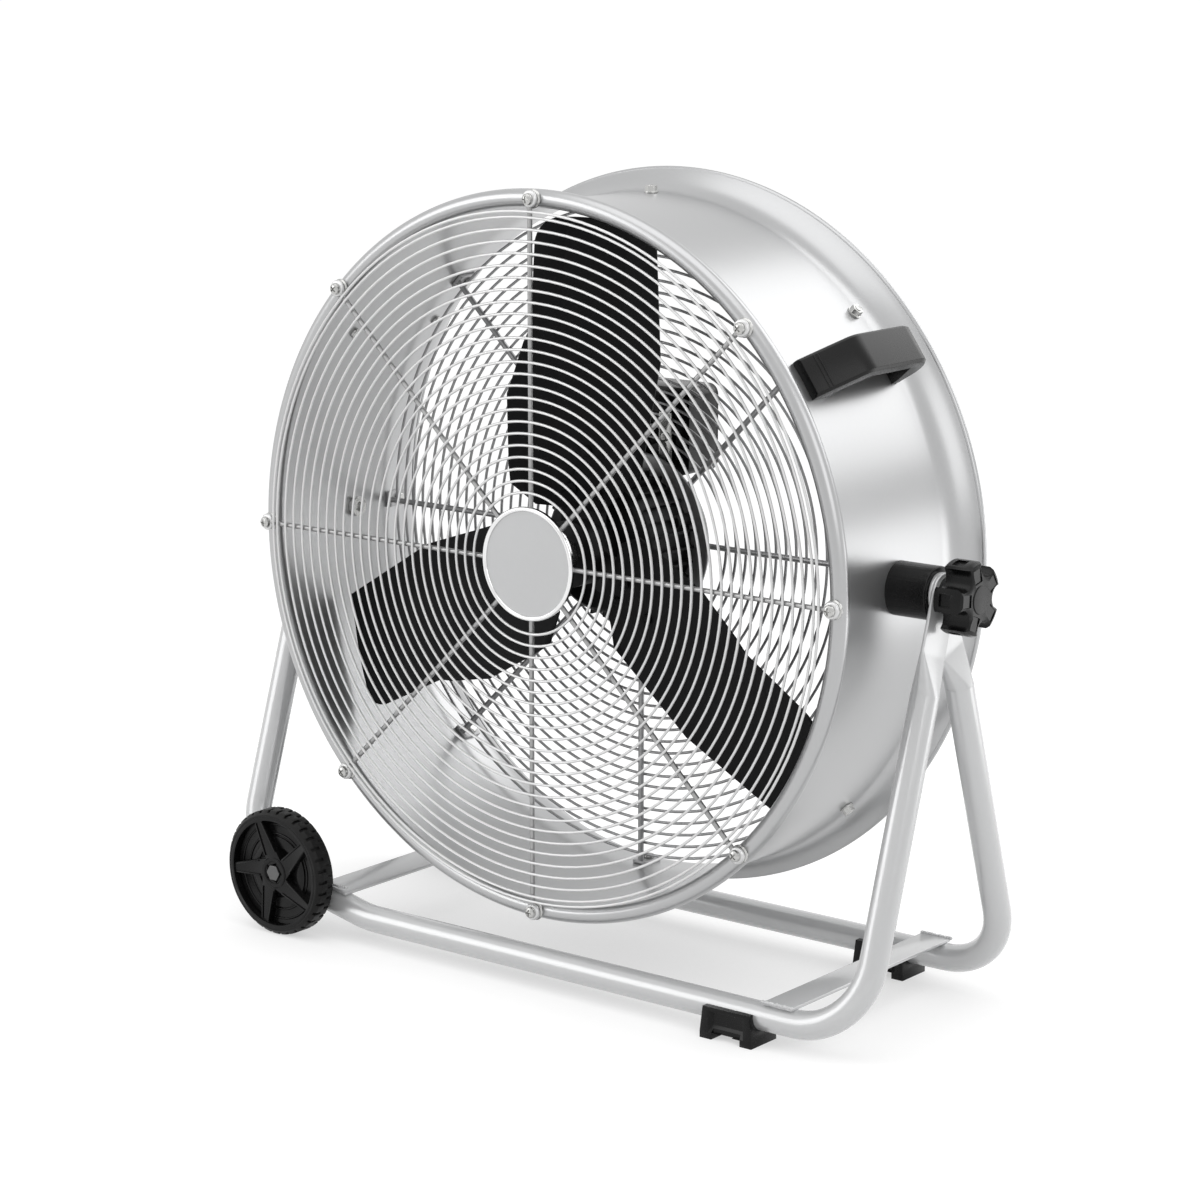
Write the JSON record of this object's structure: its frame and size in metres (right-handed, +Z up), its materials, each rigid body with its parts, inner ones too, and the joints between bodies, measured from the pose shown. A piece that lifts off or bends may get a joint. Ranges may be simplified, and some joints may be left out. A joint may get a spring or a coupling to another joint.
{
  "type": "drum floor fan",
  "caption": "Large drum fan in a round metal shell with wire guards, tilting on clamp knobs in a tubular A-frame stand with transport wheels at one end and feet at the other.",
  "frame": {"origin": "on the floor, under the middle of the drum and of the stand", "axes": "+Z up, the fan blows towards -Y, +X to the right seen from the front, wheels at -X, feet at +X"},
  "size_m": [0.788, 0.305, 0.7194],
  "materials": {
    "drum_paint": "light silver metallic paint, satin",
    "stand_paint": "pale silver paint, glossy",
    "guard_zinc": "bright zinc-plated wire",
    "zinc_steel": "zinc-plated steel",
    "badge_metal": "satin face with a polished rim",
    "black_plastic": "satin black moulded plastic",
    "black_rubber": "matt black rubber",
    "tyre_black": "matt black moulded tread",
    "black_paint": "semi-gloss black enamel",
    "bare_steel": "bare ground steel",
    "copper": "varnished copper wire",
    "switch_plastic": "dark moulded plastic",
    "can_metal": "drawn can, bare"
  },
  "bodies": {
    "stand": {"front_frame_tube": "stand_paint", "rear_frame_tube": "stand_paint", "foot_cross_strip": "stand_paint", "wheel_cross_strip": "stand_paint", "front_foot": "black_plastic", "rear_foot": "black_plastic", "foot_screws": "zinc_steel", "wheel_axles": "zinc_steel", "axle_nuts": "zinc_steel", "axle_sleeves": "stand_paint"},
    "drum": {"drum_shell": "drum_paint", "front_guard": "guard_zinc", "guard_washers": "zinc_steel", "guard_screws": "zinc_steel", "guard_badge": "badge_metal", "badge_screw": "zinc_steel", "rear_guard": "guard_zinc", "guard_lugs": "guard_zinc", "lug_bolts": "zinc_steel", "lug_nuts": "zinc_steel", "motor_housing": "black_paint", "motor_bolts": "zinc_steel", "motor_rear_cover": "black_paint", "cover_screws": "zinc_steel", "front_bearing": "bare_steel", "rear_bearing": "bare_steel", "stator_core": "bare_steel", "stator_windings": "copper", "control_box": "black_plastic", "control_box_lid": "black_plastic", "lid_screws": "zinc_steel", "speed_switch": "switch_plastic", "run_capacitor": "can_metal", "cable_gland": "black_plastic", "lead_bush": "black_rubber", "box_clamps": "zinc_steel", "clamp_screws": "zinc_steel", "right_handle": "black_plastic", "left_handle": "black_plastic", "handle_screws": "zinc_steel", "pivot_bolts": "zinc_steel", "pivot_spacers": "black_plastic", "clamp_washers": "zinc_steel"},
    "rotor": {"motor_shaft": "bare_steel", "rotor_core": "bare_steel", "fan_hub": "black_paint", "blade_1": "black_paint", "blade_2": "black_paint", "blade_3": "black_paint", "blade_rivets": "zinc_steel", "hub_nut": "zinc_steel"},
    "right_knob": {"right_clamp_knob": "black_plastic"},
    "left_knob": {"left_clamp_knob": "black_plastic"},
    "front_wheel": {"front_wheel_tyre": "tyre_black", "front_wheel_rim": "black_plastic"},
    "rear_wheel": {"rear_wheel_tyre": "tyre_black", "rear_wheel_rim": "black_plastic"},
    "dial": {"speed_dial": "black_plastic"}
  },
  "joints": [
    {"name": "drum_tilt", "type": "hinge", "parent": "stand", "child": "drum", "pos_m": [0, 0, 0.386], "axis": [1, 0, 0], "range_deg": [-90, 90]},
    {"name": "rotor_spin", "type": "hinge", "parent": "drum", "child": "rotor", "pos_m": [0, 0, 0.386], "axis": [0, 1, 0], "continuous": true},
    {"name": "right_knob_turn", "type": "hinge", "parent": "drum", "child": "right_knob", "pos_m": [0.375, 0, 0.386], "axis": [1, 0, 0], "range_deg": [0, 270]},
    {"name": "left_knob_turn", "type": "hinge", "parent": "drum", "child": "left_knob", "pos_m": [-0.375, 0, 0.386], "axis": [-1, 0, 0], "range_deg": [0, 270]},
    {"name": "front_wheel_roll", "type": "hinge", "parent": "stand", "child": "front_wheel", "pos_m": [-0.2833, -0.141, 0.06], "axis": [0, 1, 0], "continuous": true},
    {"name": "rear_wheel_roll", "type": "hinge", "parent": "stand", "child": "rear_wheel", "pos_m": [-0.2833, 0.141, 0.06], "axis": [0, 1, 0], "continuous": true},
    {"name": "speed_dial_turn", "type": "hinge", "parent": "drum", "child": "dial", "pos_m": [0, 0.1, 0.486], "axis": [0, -1, 0], "range_deg": [0, 135]}
  ]
}
